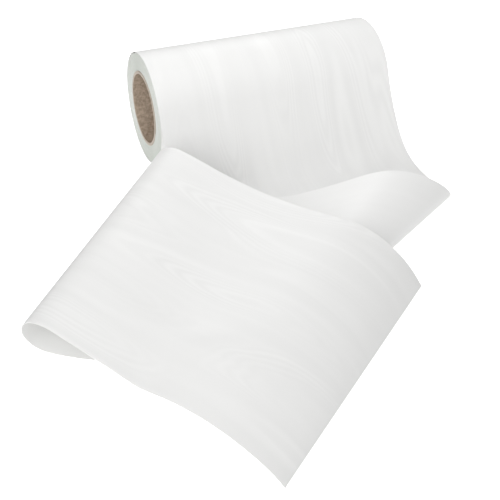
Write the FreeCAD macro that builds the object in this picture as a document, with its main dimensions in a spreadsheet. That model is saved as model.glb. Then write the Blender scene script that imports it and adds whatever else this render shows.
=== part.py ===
"""A short, wide roll of backdrop paper on a cardboard core, with its loose end folded on the table.

Frame: millimetres. The origin is the centre of the core's bore. +X runs along the bore, +Z is up,
and the loose web comes off the roll towards -Y. The table is one roll radius below the origin.
"""

import FreeCAD
import Part
import Sketcher
import math
import os

Vector = FreeCAD.Vector
ALONG = Vector(1, 0, 0)
UP = Vector(0, 0, 1)

document = FreeCAD.newDocument("backdrop_paper_roll")

# ---------------------------------------------------------------- driving dimensions

sheet = document.addObject("Spreadsheet::Sheet", "Sizes")

SIZES = [
    ("bore_diameter", 50.8, "inside of the core, a two-inch tube"),
    ("liner_thickness", 0.3, "innermost and outermost ply of the core"),
    ("body_ply_thickness", 0.35, "each ply between them"),
    ("seam_pitch", 100.0, "how far a ply's seam runs along the core in one turn"),
    ("seam_gap", 0.4, "gap of the butt seam, along the core"),
    ("web_width", 182.0, "width of the web, and the core's length"),
    ("roll_diameter", 82.8, "over the outermost turn"),
    ("web_thickness", 0.3, "one thickness of the paper"),
    ("slip_gap", 0.3, "clearance in which the wound web turns inside the outermost turn"),
    ("tape_width", 25.0, "starting tape, measured round the core"),
    ("tape_thickness", 0.1, "starting tape"),
    ("leave_angle", 21.0, "how far above the roll's front line the web leaves it, degrees"),
    ("past_bottom_angle", 12.0, "how far the outermost turn runs on past the bottom, degrees"),
    ("bend_easing", 14.5, "length over which one stretch's bend eases into the next"),
    ("bend_line_step", 1.0, "from one worked-out bend line of the loose web to the next"),
]

BODY_PLIES = 4

# The loose web is one flat strip, bent about straight lines that cross it. Each stretch has its
# length along the middle of the web, how far it turns, and the slant of the bend line at its end.
# A turn is positive where the web curls as it does on the roll. A slant is positive where the
# right-hand end of the bend line is further along the web.
STRETCHES = [
    ("drop", 51, -15.5, -9),
    ("landing", 22, -52.5, 11),
    ("table_run", 109, -1.0, -32),
    ("right_crease", 14, -118.5, -37),
    ("right_return", 41, -85.0, -22),
    ("middle_start", 42, 5.0, -16),
    ("middle_dip", 29, 18.0, -25),
    ("middle_end", 52, 17.0, -16),
    ("left_loop", 53, 174.0, -13),
    ("front_start", 40, 3.5, -24),
    ("front_dip", 55, -20.5, 3),
    ("front_crown", 61, 42.0, -10),
    ("cut_edge", 15, 21.0, -2),
]

# The web is cut across into these pieces, because a solid that doubles back has no convex parts.
WEB_PIECES = [
    ("web_drop", "drop", "landing"),
    ("web_table_run", "table_run", "table_run"),
    ("web_right_fold", "right_crease", "right_return"),
    ("web_middle_panel", "middle_start", "middle_end"),
    ("web_left_fold", "left_loop", "left_loop"),
    ("web_front_panel", "front_start", "front_crown"),
    ("web_cut_edge", "cut_edge", "cut_edge"),
]


def add_cell(row, alias, value, note):
    sheet.set("A%d" % row, note)
    sheet.set("B%d" % row, str(value))
    sheet.setAlias("B%d" % row, alias)


def fill_sheet():
    row = 1
    for alias, value, note in SIZES:
        add_cell(row, alias, value, note)
        row += 1
    for name, length, turn, slant in STRETCHES:
        add_cell(row, name + "_length", length, name + ": length along the web")
        add_cell(row + 1, name + "_turn", turn, name + ": turn, degrees")
        add_cell(row + 2, name + "_slant", slant, name + ": slant of the last bend line, degrees")
        row += 3
    document.recompute()


def size(alias):
    return float(sheet.get(alias))


# ---------------------------------------------------------------- bodies round the bore's line

BORE_RADIUS = "Sizes.bore_diameter / 2"
OUTER_RADIUS = "Sizes.roll_diameter / 2"
OUTER_TURN_INSIDE = OUTER_RADIUS + " - Sizes.web_thickness"
WOUND_RADIUS = OUTER_TURN_INSIDE + " - Sizes.slip_gap"
CORE_WALL = "2 * Sizes.liner_thickness + %d * Sizes.body_ply_thickness" % BODY_PLIES
CORE_RADIUS = BORE_RADIUS + " + " + CORE_WALL

# A body's own Z lies along the bore, and its own X points down at the table.
LAID_ON_ITS_SIDE = FreeCAD.Rotation(Vector(0, 1, 0), 90)


def origin_feature(body, role):
    for feature in body.Origin.OriginFeatures:
        if feature.Role == role:
            return feature
    raise ValueError(role)


def new_body(label, turned=0.0):
    """A body that lies along the bore, turned about it by some degrees."""
    body = document.addObject("PartDesign::Body", label)
    body.Label = label
    turn = FreeCAD.Rotation(ALONG, turned)
    body.Placement = FreeCAD.Placement(Vector(0, 0, 0), turn.multiply(LAID_ON_ITS_SIDE))
    return body


def new_sketch(body, name, role):
    sketch = body.newObject("Sketcher::SketchObject", name)
    sketch.AttachmentSupport = [(origin_feature(body, role), "")]
    sketch.MapMode = "FlatFace"
    return sketch


def bind(sketch, kind, geometry, name, expression):
    """One dimension of a sketch that follows the sheet."""
    index = sketch.addConstraint(Sketcher.Constraint(kind, *geometry))
    sketch.renameConstraint(index, name)
    sketch.setExpression("Constraints." + name, expression)


# A sketch is drawn at these distances first, and then its dimensions are bound to the sheet.
NEAR = 20.0
FAR = 30.0
LOW = 1.0
HIGH = 2.0


def add_ring(sketch, inner, outer):
    """Two circles about the sketch's origin."""
    for name, expression, start in (("inner", inner, NEAR), ("outer", outer, FAR)):
        circle = sketch.addGeometry(Part.Circle(Vector(0, 0, 0), UP, start))
        sketch.addConstraint(Sketcher.Constraint("Coincident", circle, 3, -1, 1))
        bind(sketch, "Radius", (circle, start), name, expression)


def add_box_outline(sketch, left, right, low, high):
    """A rectangle whose four sides are at distances from the sketch's origin."""
    corners = [
        Vector(NEAR, LOW, 0),
        Vector(FAR, LOW, 0),
        Vector(FAR, HIGH, 0),
        Vector(NEAR, HIGH, 0),
    ]
    for index in range(4):
        sketch.addGeometry(Part.LineSegment(corners[index], corners[(index + 1) % 4]))
    for index in range(4):
        sketch.addConstraint(Sketcher.Constraint("Coincident", index, 2, (index + 1) % 4, 1))
    for index, direction in enumerate(("Horizontal", "Vertical", "Horizontal", "Vertical")):
        sketch.addConstraint(Sketcher.Constraint(direction, index))
    bind(sketch, "DistanceX", (-1, 1, 0, 1, NEAR), "left", left)
    bind(sketch, "DistanceX", (-1, 1, 0, 2, FAR), "right", right)
    bind(sketch, "DistanceY", (-1, 1, 0, 1, LOW), "low", low)
    bind(sketch, "DistanceY", (-1, 1, 2, 1, HIGH), "high", high)


def pad_to_width(body, sketch):
    pad = body.newObject("PartDesign::Pad", body.Label + "_pad")
    pad.Profile = sketch
    pad.Midplane = True
    pad.setExpression("Length", "Sizes.web_width")
    return pad


# ---------------------------------------------------------------- the core


def make_ply(label, inner, outer, turned):
    """One ply of the core: a tube wall with the butt seam of the strip that it is wound from."""
    body = new_body(label, turned)
    ring = new_sketch(body, label + "_ring", "XY_Plane")
    add_ring(ring, inner, outer)
    pad_to_width(body, ring)
    seam = new_sketch(body, label + "_seam", "XZ_Plane")
    below = "-Sizes.web_width / 2 - Sizes.seam_gap * 2"
    add_box_outline(
        seam,
        inner + " - Sizes.seam_gap / 2",
        outer + " + Sizes.seam_gap / 2",
        below,
        below + " + Sizes.seam_gap",
    )
    cut = body.newObject("PartDesign::SubtractiveHelix", label + "_seam_cut")
    cut.Profile = seam
    cut.ReferenceAxis = (origin_feature(body, "Z_Axis"), [""])
    cut.Mode = "pitch-height-angle"
    cut.setExpression("Pitch", "Sizes.seam_pitch")
    cut.setExpression("Height", "Sizes.web_width + Sizes.seam_gap * 4")
    return body


def make_core():
    """Liner, body plies and outer ply, each seam set round from the one below it."""
    plies = [("core_inner_liner", "Sizes.liner_thickness")]
    for number in range(1, BODY_PLIES + 1):
        plies.append(("core_body_ply_%d" % number, "Sizes.body_ply_thickness"))
    plies.append(("core_outer_ply", "Sizes.liner_thickness"))
    seam_shift = 360.0 / len(plies)
    made = []
    inner = BORE_RADIUS
    for number, (label, thickness) in enumerate(plies):
        outer = inner + " + " + thickness
        made.append(make_ply(label, inner, outer, number * seam_shift))
        inner = outer
    return made


# ---------------------------------------------------------------- tape, wound web, outermost turn


def add_arc_band(sketch, inner, outer, first_angle, last_angle, guess):
    """A band between two arcs about the origin and two radial ends; guess is a start in numbers."""
    centre = Vector(0, 0, 0)
    low = math.radians(guess["first"])
    high = math.radians(guess["last"])
    arcs = {}
    for name, expression in (("inner", inner), ("outer", outer)):
        circle = Part.Circle(centre, UP, guess[name])
        arcs[name] = sketch.addGeometry(Part.ArcOfCircle(circle, low, high))
        sketch.addConstraint(Sketcher.Constraint("Coincident", arcs[name], 3, -1, 1))
        bind(sketch, "Radius", (arcs[name], guess[name]), name, expression)
    for name, end, angle, expression in (
        ("first", 1, low, first_angle),
        ("last", 2, high, last_angle),
    ):
        ray = Vector(math.cos(angle), math.sin(angle), 0)
        side = Part.LineSegment(ray * guess["inner"], ray * guess["outer"])
        line = sketch.addGeometry(side)
        sketch.addConstraint(Sketcher.Constraint("Coincident", line, 1, arcs["inner"], end))
        sketch.addConstraint(Sketcher.Constraint("Coincident", line, 2, arcs["outer"], end))
        bind(sketch, "Angle", (line, angle), name, expression)
    return arcs


def make_tape():
    """The strip that holds the web's first turn to the core."""
    body = new_body("starting_tape")
    sketch = new_sketch(body, "tape_section", "XY_Plane")
    half_angle = "Sizes.tape_width / (%s) / 2 * 180 deg / pi" % CORE_RADIUS
    wall = 2 * size("liner_thickness") + BODY_PLIES * size("body_ply_thickness")
    radius = size("bore_diameter") / 2 + wall
    half = math.degrees(size("tape_width") / radius / 2)
    add_arc_band(
        sketch,
        CORE_RADIUS,
        CORE_RADIUS + " + Sizes.tape_thickness",
        "-(%s)" % half_angle,
        half_angle,
        {
            "inner": radius,
            "outer": radius + size("tape_thickness"),
            "first": -half,
            "last": half,
        },
    )
    pad_to_width(body, sketch)
    return body


def make_wound_web(tape):
    """All the turns but the outermost one, in one ring with a recess for the starting tape."""
    ring = document.addObject("PartDesign::Body", "wound_turns")
    ring.Placement = tape.Placement
    sketch = new_sketch(ring, "wound_ring", "XY_Plane")
    add_ring(sketch, CORE_RADIUS, WOUND_RADIUS)
    pad_to_width(ring, sketch)
    wound = document.addObject("Part::Cut", "wound_web")
    wound.Label = "wound_web"
    wound.Base = ring
    wound.Tool = tape
    return wound


def make_outer_turn():
    """The outermost turn, from just past the bottom, up the back and over to where it leaves."""
    body = new_body("web_outer_turn")
    sketch = new_sketch(body, "outer_turn_section", "XY_Plane")
    radius = size("roll_diameter") / 2
    add_arc_band(
        sketch,
        OUTER_TURN_INSIDE,
        OUTER_RADIUS,
        "-Sizes.past_bottom_angle * 1 deg",
        "(270 - Sizes.leave_angle) * 1 deg",
        {
            "inner": radius - size("web_thickness"),
            "outer": radius,
            "first": -size("past_bottom_angle"),
            "last": 270 - size("leave_angle"),
        },
    )
    pad_to_width(body, sketch)
    return body


# ---------------------------------------------------------------- the loose web


def level(place, edges, values):
    """Straight-line value between the stretches' ends."""
    if place <= edges[0]:
        return values[0]
    for index in range(1, len(edges)):
        if place <= edges[index]:
            share = (place - edges[index - 1]) / (edges[index] - edges[index - 1])
            return values[index - 1] + share * (values[index] - values[index - 1])
    return values[-1]


def eased(place, edges, values, window):
    """The same, averaged over a window that narrows to nothing at either end of the web."""
    samples = 9
    reach = min(window / 2, place, edges[-1] - place)
    total = 0.0
    for number in range(samples):
        share = 2 * number / (samples - 1) - 1
        total += level(place + share * reach, edges, values)
    return total / samples


def lay_web(step):
    """Frames along the middle of the loose web: place, point, bend line, outward normal."""
    edges = [0.0]
    turned = [0.0]
    slants = [0.0]
    for name, _, _, _ in STRETCHES:
        edges.append(edges[-1] + size(name + "_length"))
        turned.append(turned[-1] + math.radians(size(name + "_turn")))
        slants.append(math.radians(size(name + "_slant")))
    easing = size("bend_easing")
    leave = math.radians(size("leave_angle"))
    radius = size("roll_diameter") / 2 - size("web_thickness") / 2
    point = Vector(0, -math.cos(leave), math.sin(leave)) * radius
    ahead = Vector(0, -math.sin(leave), -math.cos(leave))
    across = ALONG
    count = int(round(edges[-1] / step))
    frames = []
    for number in range(count + 1):
        place = edges[-1] * number / count
        following = edges[-1] * (number + 1) / count
        slant = eased(place, edges, slants, 2 * easing)
        line = ahead * math.sin(slant) + across * math.cos(slant)
        frames.append((place, point, line * (1 / math.cos(slant)), ahead.cross(across)))
        bend = eased(following, edges, turned, easing) - eased(place, edges, turned, easing)
        half_bend = math.degrees(bend) / 2
        next_slant = eased(following, edges, slants, 2 * easing)
        first_half = FreeCAD.Rotation(line, half_bend)
        ahead = first_half.multVec(ahead)
        across = first_half.multVec(across)
        point = point + ahead * (following - place)
        next_line = ahead * math.sin(next_slant) + across * math.cos(next_slant)
        second_half = FreeCAD.Rotation(next_line, half_bend)
        ahead = second_half.multVec(ahead)
        across = second_half.multVec(across)
    return frames, dict(zip([stretch[0] for stretch in STRETCHES], zip(edges, edges[1:])))


def selvedge(frames, side, face):
    """One long edge of the strip: side is -1 or 1 across it, face is -1 or 1 through it."""
    half_width = size("web_width") / 2
    half_thickness = size("web_thickness") / 2
    points = []
    for _, point, line, normal in frames:
        points.append(point + line * (side * half_width) + normal * (face * half_thickness))
    spline = Part.BSplineCurve()
    spline.interpolate(Points=points, Parameters=[frame[0] for frame in frames])
    return spline


def ruled_face(one, other):
    """The face swept by straight lines between two splines that share their knots."""
    surface = Part.BSplineSurface()
    surface.buildFromPolesMultsKnots(
        [one.getPoles(), other.getPoles()],
        [2, 2],
        one.getMultiplicities(),
        [0, 1],
        one.getKnots(),
        False,
        False,
        1,
        one.Degree,
    )
    return surface.toShape()


def strip_solid(frames):
    """A closed solid between four long edges, with straight lines across every face."""
    edges = {}
    for side in (-1, 1):
        for face in (-1, 1):
            edges[side, face] = selvedge(frames, side, face)
    ring = [(-1, -1), (1, -1), (1, 1), (-1, 1)]
    faces = []
    for index in range(4):
        faces.append(ruled_face(edges[ring[index]], edges[ring[(index + 1) % 4]]))
    for end in ("StartPoint", "EndPoint"):
        corners = [getattr(edges[key], end) for key in ring]
        faces.append(Part.Face(Part.makePolygon(corners + corners[:1])))
    shell = Part.makeShell(faces)
    shell.sewShape()
    solid = Part.makeSolid(shell)
    if solid.Volume < 0:
        solid.reverse()
    return solid


def make_loose_web():
    """The loose web's pieces, each from one bend line to another."""
    step = size("bend_line_step")
    frames, spans = lay_web(step)
    made = []
    for label, first, last in WEB_PIECES:
        start = spans[first][0] - step / 2
        end = spans[last][1] + step / 2
        near = [frame for frame in frames if start < frame[0] < end]
        piece = document.addObject("Part::Feature", label)
        piece.Label = label
        piece.Shape = strip_solid(near)
        piece.Placement = FreeCAD.Placement()
        made.append(piece)
    return made


# ---------------------------------------------------------------- build, check and write


def check(piece):
    states = piece.State
    if "Invalid" in states or "Error" in states:
        raise RuntimeError("%s failed: %s" % (piece.Name, states))


def write(pieces):
    os.makedirs("parts", exist_ok=True)
    for piece in pieces:
        shape = piece.Shape
        if shape.isNull() or not shape.isValid():
            raise RuntimeError("%s has no valid shape" % piece.Label)
        if len(shape.Solids) != 1:
            raise RuntimeError("%s has %d solids" % (piece.Label, len(shape.Solids)))
    for piece in pieces:
        piece.Shape.exportStep("parts/%s.step" % piece.Label)
        print("%-20s %10.1f mm3" % (piece.Label, piece.Shape.Volume))


fill_sheet()
pieces = make_core()
tape = make_tape()
pieces.append(tape)
pieces.append(make_wound_web(tape))
pieces.append(make_outer_turn())
pieces.extend(make_loose_web())
document.recompute()
for item in document.Objects:
    check(item)
write(pieces)
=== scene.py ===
"""A short, wide roll of watered backdrop paper on a cardboard core, its loose end folded on a table.

Metres. The origin is the centre of the core's bore. +X runs along the bore, +Z is up, and the
loose web comes off the roll towards -Y. The table is one roll radius below the origin.
"""

import math

import bpy
from mathutils import Matrix, Vector


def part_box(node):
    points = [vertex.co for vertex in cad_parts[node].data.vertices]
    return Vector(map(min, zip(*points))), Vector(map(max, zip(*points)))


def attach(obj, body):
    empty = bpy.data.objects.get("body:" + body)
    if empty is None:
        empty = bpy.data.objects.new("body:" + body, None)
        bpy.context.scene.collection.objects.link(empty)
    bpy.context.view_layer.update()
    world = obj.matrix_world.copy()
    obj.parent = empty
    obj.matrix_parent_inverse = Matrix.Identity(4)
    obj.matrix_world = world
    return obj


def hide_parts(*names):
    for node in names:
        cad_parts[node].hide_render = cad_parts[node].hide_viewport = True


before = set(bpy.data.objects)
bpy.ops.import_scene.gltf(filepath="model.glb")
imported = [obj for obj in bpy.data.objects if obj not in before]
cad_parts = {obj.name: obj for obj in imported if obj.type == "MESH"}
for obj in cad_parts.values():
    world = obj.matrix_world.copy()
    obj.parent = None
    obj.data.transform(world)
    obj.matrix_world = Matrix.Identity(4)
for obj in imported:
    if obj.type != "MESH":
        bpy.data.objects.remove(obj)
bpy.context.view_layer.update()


# ---------------------------------------------------------------- camera
# A longish lens, standing off in front of the roll's left-hand end and looking down on the folds.
# It aims at a point on the table in the middle of the folded web.

MM = 0.001
DEGREE = math.pi / 180
roll_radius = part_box("web_outer_turn")[1].z
table_height = -roll_radius

aim = Vector((-66.8 * MM, -145.3 * MM, table_height))
camera_distance = 625.7 * MM
camera_elevation = 33.82 * DEGREE
camera_turn = 22.62 * DEGREE
camera_lens = 69.26
away = Vector(
    (
        -math.sin(camera_turn) * math.cos(camera_elevation),
        -math.cos(camera_turn) * math.cos(camera_elevation),
        math.sin(camera_elevation),
    )
)
camera_data = bpy.data.cameras.new("camera")
camera_data.sensor_width = 36.0
camera_data.lens = camera_lens
camera_data.clip_start = 0.01
camera = bpy.data.objects.new("camera", camera_data)
camera.location = aim + away * camera_distance
camera.rotation_euler = (-away).to_track_quat("-Z", "Y").to_euler()
bpy.context.scene.collection.objects.link(camera)
bpy.context.scene.camera = camera


# ---------------------------------------------------------------- loose web
# One strip of thin white paper with a watered face: the outermost turn of the roll and the length
# drawn off it. It runs down to the table, doubles back at the right, humps over the middle, loops
# over at the left and ends in a clean cut. Only its own stiffness and the table hold it.

paper_thickness = 0.3 * MM
half_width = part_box("web_outer_turn")[1].x
leave_angle = 21 * DEGREE
past_bottom_angle = 12 * DEGREE
bend_easing = 14.5 * MM
row_step = 1.3 * MM
columns = 28
rib_spacing = 1.15 * MM
sharp_edge = 50 * DEGREE

# The strip is bent about straight lines that cross it. Each stretch has its length in millimetres
# along the middle, how far it turns, and the slant of the bend line at its end, both in degrees.
STRETCHES = [
    ("drop", 51, -15.5, -9),
    ("landing", 22, -52.5, 11),
    ("table_run", 109, -1.0, -32),
    ("right_crease", 14, -118.5, -37),
    ("right_return", 41, -85.0, -22),
    ("middle_start", 42, 5.0, -16),
    ("middle_dip", 29, 18.0, -25),
    ("middle_end", 52, 17.0, -16),
    ("left_loop", 53, 174.0, -13),
    ("front_start", 40, 3.5, -24),
    ("front_dip", 55, -20.5, 3),
    ("front_crown", 61, 42.0, -10),
    ("cut_edge", 15, 21.0, -2),
]


def level(place, edges, values):
    """Straight-line value between the stretches' ends."""
    if place <= edges[0]:
        return values[0]
    for index in range(1, len(edges)):
        if place <= edges[index]:
            share = (place - edges[index - 1]) / (edges[index] - edges[index - 1])
            return values[index - 1] + share * (values[index] - values[index - 1])
    return values[-1]


def eased(place, edges, values, window):
    """The same, averaged over a window that narrows to nothing at either end of the web."""
    samples = 9
    reach = min(window / 2, place, edges[-1] - place)
    total = 0.0
    for number in range(samples):
        share = 2 * number / (samples - 1) - 1
        total += level(place + share * reach, edges, values)
    return total / samples


def outer_turn_rows():
    """Rows of the turn that still lies round the roll.

    A row is its place along the web, its middle point, its bend line, how far that line runs ahead
    for each metre across, and the way the outer face looks.
    """
    radius = roll_radius - paper_thickness / 2
    sweep = 1.5 * math.pi - leave_angle + past_bottom_angle
    length = sweep * radius
    count = int(round(length / row_step))
    across = Vector((1, 0, 0))
    rows = []
    for number in range(count):
        angle = sweep * number / count - past_bottom_angle
        outward = Vector((0, math.sin(angle), -math.cos(angle)))
        place = length * number / count - length
        rows.append((place, outward * radius, across, 0.0, outward))
    return rows


def loose_rows():
    """Rows of the length that is off the roll, from the line where it leaves to the cut."""
    edges = [0.0]
    turned = [0.0]
    slants = [0.0]
    for _, length, turn, slant in STRETCHES:
        edges.append(edges[-1] + length * MM)
        turned.append(turned[-1] + turn * DEGREE)
        slants.append(slant * DEGREE)
    radius = roll_radius - paper_thickness / 2
    point = Vector((0, -math.cos(leave_angle), math.sin(leave_angle))) * radius
    ahead = Vector((0, -math.sin(leave_angle), -math.cos(leave_angle)))
    across = Vector((1, 0, 0))
    count = int(round(edges[-1] / row_step))
    rows = []
    for number in range(count + 1):
        place = edges[-1] * number / count
        following = edges[-1] * (number + 1) / count
        slant = eased(place, edges, slants, 2 * bend_easing)
        line = ahead * math.sin(slant) + across * math.cos(slant)
        outward = ahead.cross(across)
        rows.append((place, point.copy(), line / math.cos(slant), math.tan(slant), outward))
        bend = eased(following, edges, turned, bend_easing)
        bend -= eased(place, edges, turned, bend_easing)
        first_half = Matrix.Rotation(bend / 2, 3, line)
        ahead = first_half @ ahead
        across = first_half @ across
        point = point + ahead * (following - place)
        slant = eased(following, edges, slants, 2 * bend_easing)
        line = ahead * math.sin(slant) + across * math.cos(slant)
        second_half = Matrix.Rotation(bend / 2, 3, line)
        ahead = second_half @ ahead
        across = second_half @ across
    return rows


OUTER_FACE = 0
INNER_FACE = 1
CUT_EDGE = 2


def strip_mesh(name, rows):
    """A closed sheet through the rows, with its flat place on every point and three finishes."""
    vertices = []
    flat = []
    for side in (1, -1):
        for place, point, line, lead, normal in rows:
            for column in range(columns + 1):
                offset = half_width * (2 * column / columns - 1)
                vertices.append(point + line * offset + normal * (side * paper_thickness / 2))
                flat.append((offset, place + lead * offset, 0.0))
    last = len(rows) - 1
    layer = len(rows) * (columns + 1)

    def at(row, column, face):
        return face * layer + row * (columns + 1) + column

    faces = []
    finish = []
    for row in range(last):
        for column in range(columns):
            ring = [(row, column), (row + 1, column), (row + 1, column + 1), (row, column + 1)]
            faces.append([at(r, c, OUTER_FACE) for r, c in ring])
            finish.append(OUTER_FACE)
            faces.append([at(r, c, INNER_FACE) for r, c in reversed(ring)])
            finish.append(INNER_FACE)
        for column, (one, two) in ((0, (row + 1, row)), (columns, (row, row + 1))):
            outer = [at(one, column, OUTER_FACE), at(two, column, OUTER_FACE)]
            inner = [at(two, column, INNER_FACE), at(one, column, INNER_FACE)]
            faces.append(outer + inner)
            finish.append(CUT_EDGE)
    for column in range(columns):
        for row, (one, two) in ((0, (column, column + 1)), (last, (column + 1, column))):
            outer = [at(row, one, OUTER_FACE), at(row, two, OUTER_FACE)]
            inner = [at(row, two, INNER_FACE), at(row, one, INNER_FACE)]
            faces.append(outer + inner)
            finish.append(CUT_EDGE)
    mesh = bpy.data.meshes.new(name)
    mesh.from_pydata(vertices, [], faces)
    mesh.polygons.foreach_set("material_index", finish)
    place = mesh.attributes.new("flat", "FLOAT_VECTOR", "POINT")
    place.data.foreach_set("vector", [value for spot in flat for value in spot])
    mesh.shade_smooth()
    mesh.set_sharp_from_angle(angle=sharp_edge)
    mesh.validate()
    mesh.update()
    return mesh


def new_material(name):
    """An empty node material with its Principled shader."""
    material = bpy.data.materials.new(name)
    material.use_nodes = True
    return material, material.node_tree, material.node_tree.nodes["Principled BSDF"]


def place_node(tree, kind, inputs=(), **settings):
    """A node with its settings, its inputs given by number or name as values or as linked sockets."""
    node = tree.nodes.new(kind)
    for setting, value in settings.items():
        setattr(node, setting, value)
    for key, value in dict(inputs).items():
        if isinstance(value, bpy.types.NodeSocket):
            tree.links.new(value, node.inputs[key])
        else:
            node.inputs[key].default_value = value
    return node


def add_node(tree, kind, inputs=(), **settings):
    """The same for a shader node, whose kind is given by its short name."""
    return place_node(tree, "ShaderNode" + kind, inputs, **settings)


def maths(tree, operation, one, two=0.0):
    """One step of arithmetic between sockets or numbers."""
    return add_node(tree, "Math", {0: one, 1: two}, operation=operation).outputs[0]


def flat_place(tree):
    """Where a point lies on the flat web, in metres: across it, and along it."""
    flat = add_node(tree, "Attribute", attribute_name="flat")
    parts = add_node(tree, "SeparateXYZ", {0: flat.outputs["Vector"]})
    return parts.outputs[0], parts.outputs[1]


def stretched_noise(tree, across, along, cell_across, cell_along, seed, detail=1.0, roughness=0.5):
    """Noise whose cells are so many metres across the web and along it."""
    in_cells_across = maths(tree, "DIVIDE", across, cell_across)
    in_cells_along = maths(tree, "DIVIDE", along, cell_along)
    spot = add_node(tree, "CombineXYZ", {0: in_cells_across, 1: in_cells_along, 2: seed})
    noise = add_node(
        tree,
        "TexNoise",
        {"Vector": spot.outputs[0], "Scale": 1.0, "Detail": detail, "Roughness": roughness},
    )
    return noise.outputs[0]


def between(tree, value, low, high, out_low, out_high):
    """A value carried smoothly from one range to another and held at the ends."""
    node = add_node(
        tree,
        "MapRange",
        {0: value, 1: low, 2: high, 3: out_low, 4: out_high},
        interpolation_type="SMOOTHSTEP",
    )
    return node.outputs[0]


def rise_and_fall(tree, value, start, full, fading, end):
    """0 up to start, 1 from full to fading, and 0 again from end."""
    rise = between(tree, value, start, full, 0.0, 1.0)
    fall = between(tree, value, fading, end, 1.0, 0.0)
    return maths(tree, "MULTIPLY", rise, fall)


def watered_figure(tree, across, along):
    """The pressed figure, about -1 to 1: plain eyes, each with a bright rim and a bundle of lines.

    It follows the contours of one slow noise. Every cycle of it has a rim, an eye and a bundle.
    """
    cycles = 2.8
    lines_in_a_cycle = 9
    wobble_share = 0.05
    eye_depth = 0.55
    line_height = 0.75
    field = stretched_noise(
        tree, across, along, cell_across=27 * MM, cell_along=205 * MM, seed=3.7, detail=0.0
    )
    wobble = stretched_noise(tree, across, along, cell_across=8 * MM, cell_along=85 * MM, seed=8.1)
    warped = maths(tree, "ADD", field, maths(tree, "MULTIPLY", wobble, wobble_share))
    cycle = maths(tree, "FRACT", maths(tree, "MULTIPLY", warped, cycles))
    rim = rise_and_fall(tree, cycle, 0.0, 0.07, 0.07, 0.3)
    eye = rise_and_fall(tree, cycle, 0.18, 0.34, 0.4, 0.56)
    bundle = rise_and_fall(tree, cycle, 0.44, 0.58, 0.86, 0.98)
    wave = maths(tree, "SINE", maths(tree, "MULTIPLY", cycle, 2 * math.pi * lines_in_a_cycle))
    lines = maths(tree, "MULTIPLY", wave, bundle)
    patches = stretched_noise(
        tree, across, along, cell_across=38 * MM, cell_along=120 * MM, seed=12.4
    )
    strength = between(tree, patches, 0.36, 0.62, 0.25, 1.0)
    light = maths(tree, "SUBTRACT", rim, maths(tree, "MULTIPLY", eye, eye_depth))
    both = maths(tree, "ADD", light, maths(tree, "MULTIPLY", lines, line_height))
    return maths(tree, "MULTIPLY", both, strength)


def paper_face(name, tint, figure_contrast, streak_contrast, roughness):
    """A face of the web: the watered figure, soft streaks and fine cross ribs, pressed in."""
    polish_of_figure = 0.05
    rib_height = 0.15
    press_depth = 0.03 * MM
    material, tree, shader = new_material(name)
    across, along = flat_place(tree)
    figure = watered_figure(tree, across, along)
    streaks = stretched_noise(
        tree, across, along, cell_across=9 * MM, cell_along=190 * MM, seed=21.9, detail=2.0
    )
    soft = maths(tree, "SUBTRACT", streaks, 0.5)
    ribs = maths(tree, "SINE", maths(tree, "MULTIPLY", along, 2 * math.pi / rib_spacing))
    shade = maths(
        tree,
        "ADD",
        maths(tree, "MULTIPLY", figure, figure_contrast),
        maths(tree, "MULTIPLY", soft, streak_contrast),
    )
    bright = maths(tree, "ADD", shade, 1.0)
    colour = add_node(tree, "VectorMath", {0: tint, "Scale": bright}, operation="SCALE")
    tree.links.new(colour.outputs[0], shader.inputs["Base Color"])
    polish = maths(tree, "MULTIPLY", figure, polish_of_figure)
    tree.links.new(maths(tree, "SUBTRACT", roughness, polish), shader.inputs["Roughness"])
    height = maths(tree, "ADD", figure, maths(tree, "MULTIPLY", ribs, rib_height))
    bump = add_node(tree, "Bump", {"Strength": 0.2, "Distance": press_depth, "Height": height})
    tree.links.new(bump.outputs[0], shader.inputs["Normal"])
    shader.inputs["Specular IOR Level"].default_value = 0.35
    return material


def paper_edge(name, tint):
    """The cut edge of the paper, faintly fibrous."""
    material, tree, shader = new_material(name)
    spot = add_node(tree, "TexCoord")
    fibres = add_node(
        tree,
        "TexNoise",
        {"Vector": spot.outputs["Object"], "Scale": 2600.0, "Detail": 2.0},
    )
    bright = between(tree, fibres.outputs[0], 0.3, 0.7, 0.94, 1.03)
    colour = add_node(tree, "VectorMath", {0: tint, "Scale": bright}, operation="SCALE")
    tree.links.new(colour.outputs[0], shader.inputs["Base Color"])
    shader.inputs["Roughness"].default_value = 0.8
    return material


watered_face = paper_face(
    "watered_face", (0.88, 0.88, 0.87), figure_contrast=0.028, streak_contrast=0.05, roughness=0.46
)
satin_back = paper_face(
    "satin_back", (0.93, 0.93, 0.92), figure_contrast=0.004, streak_contrast=0.03, roughness=0.42
)
cut_paper = paper_edge("cut_paper", (0.9, 0.9, 0.88))

web_rows = outer_turn_rows() + loose_rows()
web_mesh = strip_mesh("loose_paper_web", web_rows)
for material in (watered_face, satin_back, cut_paper):
    web_mesh.materials.append(material)
loose_web = bpy.data.objects.new("loose_paper_web", web_mesh)
bpy.context.scene.collection.objects.link(loose_web)
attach(loose_web, "loose_web")
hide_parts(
    "web_outer_turn",
    "web_drop",
    "web_table_run",
    "web_right_fold",
    "web_middle_panel",
    "web_left_fold",
    "web_front_panel",
    "web_cut_edge",
)


# ---------------------------------------------------------------- wound turns
# The rest of the same web, wound tight on the core. Its layers show as fine rings at the roll's
# ends, where each turn lands a hair to one side of the last. Those ends carry painted shade: a
# darker grey than the cut edge of the same paper, for the shade between the tight layers.

wound_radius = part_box("wound_web")[1].z
core_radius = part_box("core_outer_ply")[1].z
tape_thickness = 0.1 * MM


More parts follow.
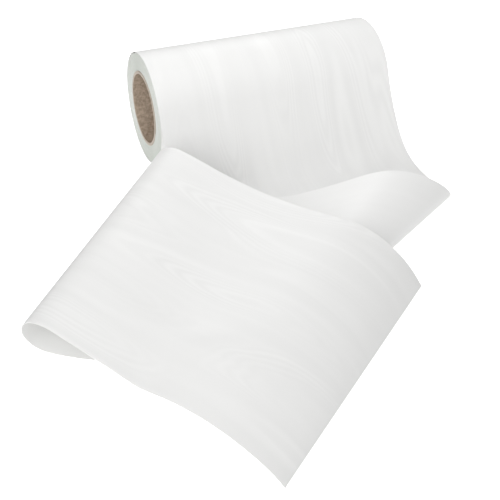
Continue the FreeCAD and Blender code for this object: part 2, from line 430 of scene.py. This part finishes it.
def wound_turns_tree():
    """A spiral about +X, swept through a thin section as wide as the web."""
    steps_in_a_turn = 120
    wander_cell = 0.11
    tree = bpy.data.node_groups.new("wound_turns", "GeometryNodeTree")
    interface = tree.interface
    for name in ("Inner radius", "Outer radius", "Turns", "Paper", "Width", "Wander", "Start turn"):
        interface.new_socket(name=name, in_out="INPUT", socket_type="NodeSocketFloat")
    for name in ("Face", "Edge"):
        interface.new_socket(name=name, in_out="INPUT", socket_type="NodeSocketMaterial")
    interface.new_socket(name="Geometry", in_out="OUTPUT", socket_type="NodeSocketGeometry")

    def put(kind, inputs=(), **settings):
        return place_node(tree, kind, inputs, **settings)

    given = put("NodeGroupInput").outputs
    spiral = put(
        "GeometryNodeCurveSpiral",
        {
            "Resolution": steps_in_a_turn,
            "Rotations": given["Turns"],
            "Start Radius": given["Inner radius"],
            "End Radius": given["Outer radius"],
            "Height": 0.0,
            "Reverse": True,
        },
    )
    parameter = put("GeometryNodeSplineParameter")
    along = put("GeometryNodeCaptureAttribute", {0: spiral.outputs[0]}, domain="POINT")
    along.capture_items.new("FLOAT", "Along")
    tree.links.new(parameter.outputs["Length"], along.inputs["Along"])
    upright = put("GeometryNodeSetCurveNormal", {0: along.outputs[0]})
    section = put(
        "GeometryNodeCurvePrimitiveQuadrilateral",
        {"Width": given["Paper"], "Height": given["Width"]},
    )
    spot = put("GeometryNodeInputPosition")
    across = put("GeometryNodeCaptureAttribute", {0: section.outputs[0]}, domain="POINT")
    across.capture_items.new("VECTOR", "Across")
    tree.links.new(spot.outputs[0], across.inputs["Across"])
    swept = put(
        "GeometryNodeCurveToMesh",
        {"Curve": upright.outputs[0], "Profile Curve": across.outputs[0], "Fill Caps": True},
    )
    parts = put("ShaderNodeSeparateXYZ", {0: across.outputs["Across"]})
    flat = put("ShaderNodeCombineXYZ", {0: parts.outputs[1], 1: along.outputs["Along"], 2: 0.0})
    kept = put(
        "GeometryNodeStoreNamedAttribute",
        {"Geometry": swept.outputs[0], "Name": "flat", "Value": flat.outputs[0]},
        data_type="FLOAT_VECTOR",
        domain="POINT",
    )
    in_cells = put(
        "ShaderNodeMath", {0: along.outputs["Along"], 1: wander_cell}, operation="DIVIDE"
    )
    noise_spot = put("ShaderNodeCombineXYZ", {0: in_cells.outputs[0]})
    noise = put(
        "ShaderNodeTexNoise",
        {"Vector": noise_spot.outputs[0], "Scale": 1.0, "Detail": 2.0, "Roughness": 0.6},
    )
    centred = put("ShaderNodeMath", {0: noise.outputs[0], 1: 0.5}, operation="SUBTRACT")
    wander = put(
        "ShaderNodeMath", {0: centred.outputs[0], 1: given["Wander"]}, operation="MULTIPLY"
    )
    shift = put("ShaderNodeCombineXYZ", {2: wander.outputs[0]})
    shifted = put("GeometryNodeSetPosition", {0: kept.outputs[0], "Offset": shift.outputs[0]})
    turn_radians = put(
        "ShaderNodeMath", {0: given["Start turn"], 1: 2 * math.pi}, operation="MULTIPLY"
    )
    start = put("ShaderNodeCombineXYZ", {2: turn_radians.outputs[0]})
    turned = put("GeometryNodeTransform", {0: shifted.outputs[0], "Rotation": start.outputs[0]})
    laid = put("GeometryNodeTransform", {0: turned.outputs[0], "Rotation": (0.0, math.pi / 2, 0.0)})
    realized = put("GeometryNodeRealizeInstances", {0: laid.outputs[0]})
    faced = put("GeometryNodeSetMaterial", {0: realized.outputs[0], "Material": given["Face"]})
    normal = put("ShaderNodeSeparateXYZ", {0: put("GeometryNodeInputNormal").outputs[0]})
    sideways = put("ShaderNodeMath", {0: normal.outputs[0]}, operation="ABSOLUTE")
    at_end = put("FunctionNodeCompare", {0: sideways.outputs[0], 1: 0.5}, operation="GREATER_THAN")
    edged = put(
        "GeometryNodeSetMaterial",
        {0: faced.outputs[0], "Selection": at_end.outputs[0], "Material": given["Edge"]},
    )
    out = put("NodeGroupOutput")
    tree.links.new(edged.outputs[0], out.inputs[0])
    return tree


def made_by_nodes(name, tree, values):
    """A plain mesh object from a node tree and its named inputs."""
    holder = bpy.data.objects.new(name, bpy.data.meshes.new(name + "_seed"))
    bpy.context.scene.collection.objects.link(holder)
    modifier = holder.modifiers.new(name, "NODES")
    modifier.node_group = tree
    for item in tree.interface.items_tree:
        if item.item_type == "SOCKET" and item.in_out == "INPUT" and item.name in values:
            modifier[item.identifier] = values[item.name]
    bpy.context.view_layer.update()
    graph = bpy.context.evaluated_depsgraph_get()
    mesh = bpy.data.meshes.new_from_object(holder.evaluated_get(graph), depsgraph=graph)
    mesh.name = name
    holder.modifiers.remove(modifier)
    holder.data = mesh
    return holder


# Painted shade: the layer ends are a darker, greenish grey than the cut edge of the same paper, for
# the shade that falls between the tightly wound layers.
layer_ends_painted_shade = paper_edge("layer_ends_painted_shade", (0.68, 0.71, 0.66))
first_radius = core_radius + tape_thickness + paper_thickness * 0.6
last_radius = wound_radius - paper_thickness / 2
turns = (last_radius - first_radius) / paper_thickness
layer_thickness = paper_thickness * 0.94
narrower = 0.5 * MM
# The outer end of the spiral lies where the outermost turn takes over from it.
start_turn = (-past_bottom_angle / (2 * math.pi) - turns) % 1.0
wound_turns = made_by_nodes(
    "wound_paper_turns",
    wound_turns_tree(),
    {
        "Inner radius": first_radius,
        "Outer radius": last_radius,
        "Turns": turns,
        "Paper": layer_thickness,
        "Width": 2 * half_width - narrower,
        "Wander": 0.7 * MM,
        "Start turn": start_turn,
        "Face": watered_face,
        "Edge": layer_ends_painted_shade,
    },
)
wound_turns.data.shade_smooth()
wound_turns.data.set_sharp_from_angle(angle=sharp_edge)
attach(wound_turns, "roll")
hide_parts("wound_web")


# ---------------------------------------------------------------- core
# A tube of kraft board: strips wound in a helix and glued, each with a butt seam. Brown and mottled
# in the bore, and paler where the saw has cut it off flush with the web.


def core_board(name, tint, cut_tint, blotch):
    """Kraft board: blotched and fibrous, with its own paler colour on the cut ends."""
    cut_starts = half_width - 0.12 * MM
    cut_full = half_width - 0.02 * MM
    material, tree, shader = new_material(name)
    spot = add_node(tree, "TexCoord").outputs["Object"]
    mottle = add_node(
        tree, "TexNoise", {"Vector": spot, "Scale": 420.0, "Detail": 4.0, "Roughness": 0.7}
    )
    fleck = add_node(tree, "TexNoise", {"Vector": spot, "Scale": 1500.0, "Detail": 2.0})
    parts = add_node(tree, "SeparateXYZ", {0: spot})
    endwards = maths(tree, "ABSOLUTE", parts.outputs[0])
    at_cut = between(tree, endwards, cut_starts, cut_full, 0.0, 1.0)
    mixed = add_node(
        tree, "Mix", {"Factor": at_cut, 6: (*tint, 1.0), 7: (*cut_tint, 1.0)}, data_type="RGBA"
    )
    bright = maths(
        tree,
        "MULTIPLY",
        between(tree, mottle.outputs[0], 0.3, 0.7, 1.0 - blotch, 1.0 + blotch),
        between(tree, fleck.outputs[0], 0.35, 0.65, 0.92, 1.06),
    )
    colour = add_node(
        tree, "VectorMath", {0: mixed.outputs[2], "Scale": bright}, operation="SCALE"
    )
    tree.links.new(colour.outputs[0], shader.inputs["Base Color"])
    bump = add_node(
        tree, "Bump", {"Strength": 0.5, "Distance": 0.15 * MM, "Height": mottle.outputs[0]}
    )
    tree.links.new(bump.outputs[0], shader.inputs["Normal"])
    shader.inputs["Roughness"].default_value = 0.85
    shader.inputs["Specular IOR Level"].default_value = 0.25
    return material


def cover(node, material):
    """Gives a node that keeps its own shape one material."""
    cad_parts[node].data.materials.clear()
    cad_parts[node].data.materials.append(material)


bore_kraft = core_board("bore_kraft", (0.45, 0.36, 0.28), (0.5, 0.43, 0.36), 0.25)
body_kraft = core_board("body_kraft", (0.42, 0.31, 0.22), (0.58, 0.51, 0.44), 0.12)
cover("core_inner_liner", bore_kraft)
for number in range(1, 5):
    cover("core_body_ply_%d" % number, body_kraft)
cover("core_outer_ply", body_kraft)


# ---------------------------------------------------------------- starting tape
# A strip of buff paper tape along the core, under the first turn of the web. It is gummed to the
# core and holds that turn to it.

tape_paper = core_board("tape_paper", (0.78, 0.7, 0.52), (0.78, 0.7, 0.52), 0.06)
cover("starting_tape", tape_paper)


# ---------------------------------------------------------------- table and light
# A white table under soft light, most of it from the front left and some from above and behind.
# The table and the room look whiter to the camera than the light that they send to the paper.

table_size = 8.0
below_the_paper = 0.1 * MM
bpy.ops.mesh.primitive_plane_add(size=table_size, location=(0, 0, table_height - below_the_paper))
floor = bpy.context.object
floor.name = "table_top"
white = (1.0, 1.0, 1.0, 1.0)
floor_material, floor_tree, floor_shader = new_material("table_white")
floor_grain = add_node(
    floor_tree,
    "TexNoise",
    {"Vector": add_node(floor_tree, "TexCoord").outputs["Object"], "Scale": 3.0},
)
floor_bright = between(floor_tree, floor_grain.outputs[0], 0.3, 0.7, 0.985, 1.0)
floor_colour = add_node(
    floor_tree, "VectorMath", {0: (0.6, 0.6, 0.6), "Scale": floor_bright}, operation="SCALE"
)
floor_tree.links.new(floor_colour.outputs[0], floor_shader.inputs["Base Color"])
floor_shader.inputs["Roughness"].default_value = 0.9
floor_shader.inputs["Specular IOR Level"].default_value = 0.1
floor_shader.inputs["Emission Color"].default_value = white
floor_shader.inputs["Emission Strength"].default_value = 0.6
extra_glow = add_node(floor_tree, "Emission", {"Color": white, "Strength": 0.62})
floor_seen = add_node(
    floor_tree, "AddShader", {0: extra_glow.outputs[0], 1: floor_shader.outputs[0]}
)


def show_apart(tree, output, lighting, seen):
    """The camera sees one shader, and the light that reaches the object comes from the other."""
    camera_ray = add_node(tree, "LightPath").outputs["Is Camera Ray"]
    choice = add_node(
        tree, "MixShader", {0: camera_ray, 1: lighting.outputs[0], 2: seen.outputs[0]}
    )
    tree.links.new(choice.outputs[0], tree.nodes[output].inputs["Surface"])


show_apart(floor_tree, "Material Output", floor_shader, floor_seen)
floor.data.materials.append(floor_material)

# A low grey card, which the camera doesn't see, leans away beside the left-hand fold. It takes
# light from that side, and so draws the white fold's edge against the white table.
flag_gap = 12 * MM
flag_lean = 10 * MM
flag_height = 32 * MM
stretch_names = [stretch[0] for stretch in STRETCHES]
stretches_before = STRETCHES[: stretch_names.index("left_loop")]
fold_starts = sum(stretch[1] for stretch in stretches_before) * MM
left_rows = [row for row in web_rows if row[0] > fold_starts]
_, fold_point, fold_line, _, _ = min(left_rows, key=lambda row: row[1].x)
fold_line = Vector((fold_line.x, fold_line.y, 0.0)).normalized()
outwards = Vector((-fold_line.y, fold_line.x, 0.0))
foot = Vector((fold_point.x, fold_point.y, table_height)) + outwards * flag_gap
near_foot = foot - fold_line * half_width
far_foot = foot + fold_line * half_width
flag_slope = outwards * flag_lean + Vector((0, 0, flag_height))
flag_mesh = bpy.data.meshes.new("grey_flag")
flag_corners = [near_foot, far_foot, far_foot + flag_slope, near_foot + flag_slope]
flag_mesh.from_pydata(flag_corners, [], [(0, 1, 2, 3)])
flag_grey, _, flag_shader = new_material("flag_grey")
flag_shader.inputs["Base Color"].default_value = (0.25, 0.25, 0.25, 1.0)
flag_mesh.materials.append(flag_grey)
grey_flag = bpy.data.objects.new("grey_flag", flag_mesh)
bpy.context.scene.collection.objects.link(grey_flag)
grey_flag.visible_camera = False

world = bpy.data.worlds.new("soft_white_room")
world.use_nodes = True
world_tree = world.node_tree
room_light = world_tree.nodes["Background"]
room_light.inputs["Color"].default_value = white
room_light.inputs["Strength"].default_value = 0.3
room_seen = add_node(world_tree, "Background", {"Color": white, "Strength": 1.0})
show_apart(world_tree, "World Output", room_light, room_seen)
bpy.context.scene.world = world


def soft_box(name, size, power, place, target):
    """A square light of a size in metres and a power in watts, facing a target and unseen."""
    light_data = bpy.data.lights.new(name, "AREA")
    light_data.shape = "SQUARE"
    light_data.size = size
    light_data.energy = power
    light = bpy.data.objects.new(name, light_data)
    light.location = place
    light.rotation_euler = (Vector(place) - Vector(target)).to_track_quat("Z", "Y").to_euler()
    light.visible_camera = False
    bpy.context.scene.collection.objects.link(light)


middle_of_folds = (-0.03, -0.12, 0.0)
soft_box("front_left_box", 0.9, 6.6, place=(-0.86, -0.95, 0.55), target=middle_of_folds)
soft_box("high_left_box", 0.9, 3.3, place=(-0.53, -0.98, 0.84), target=middle_of_folds)
soft_box("overhead_box", 0.35, 1.12, place=(-0.05, -0.12, 0.6), target=(0.01, 0.0, 0.0))
soft_box("back_box", 0.3, 0.76, place=(0.12, 0.33, 0.38), target=(0.05, 0.0, 0.0))

bpy.context.scene.view_settings.view_transform = "Standard"
bpy.context.scene.view_settings.look = "None"
